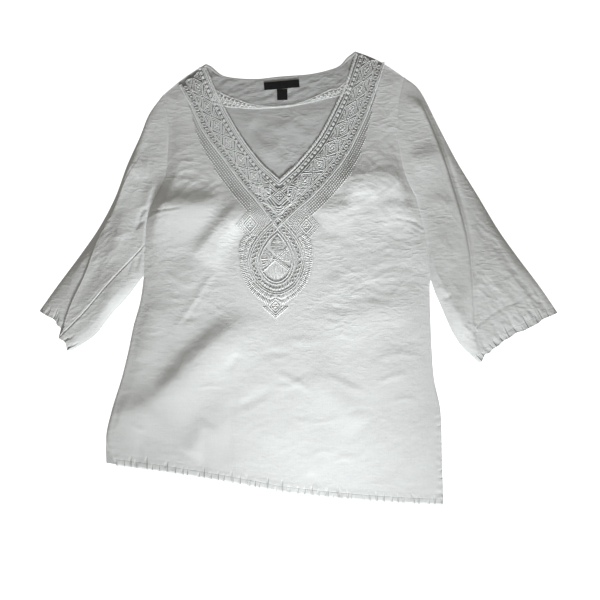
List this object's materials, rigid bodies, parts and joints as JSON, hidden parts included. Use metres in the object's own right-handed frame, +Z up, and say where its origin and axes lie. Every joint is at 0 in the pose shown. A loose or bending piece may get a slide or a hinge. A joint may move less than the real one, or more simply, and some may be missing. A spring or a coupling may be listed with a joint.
{
  "type": "tunic top",
  "caption": "Linen tunic top laid flat, with a deep V neck, embroidered yoke and medallion, three-quarter sleeves and side slits.",
  "frame": {"origin": "on the surface that the garment lies on, under the middle of its bounding box", "axes": "+X from the wearer's right sleeve to the left one, which is the viewer's left to right, +Y from the hem to the neck, +Z up out of the surface, through the front"},
  "size_m": [0.872, 0.764, 0.0132],
  "materials": {
    "linen": "washed off-white linen, matt plain weave",
    "facing_linen": "inner side of the linen, matt",
    "embroidery_thread": "white cotton thread with a soft sheen",
    "woven_label": "black satin-woven tape"
  },
  "bodies": {
    "root": {"back_panel": "linen", "front_panel": "linen", "sleeve_left": "linen", "sleeve_right": "linen", "back_neck_facing": "facing_linen", "back_neck_stitches": "embroidery_thread", "neck_embroidery": "embroidery_thread", "medallion_embroidery": "embroidery_thread", "neck_label": "woven_label", "size_tab": "woven_label"}
  },
  "joints": []
}
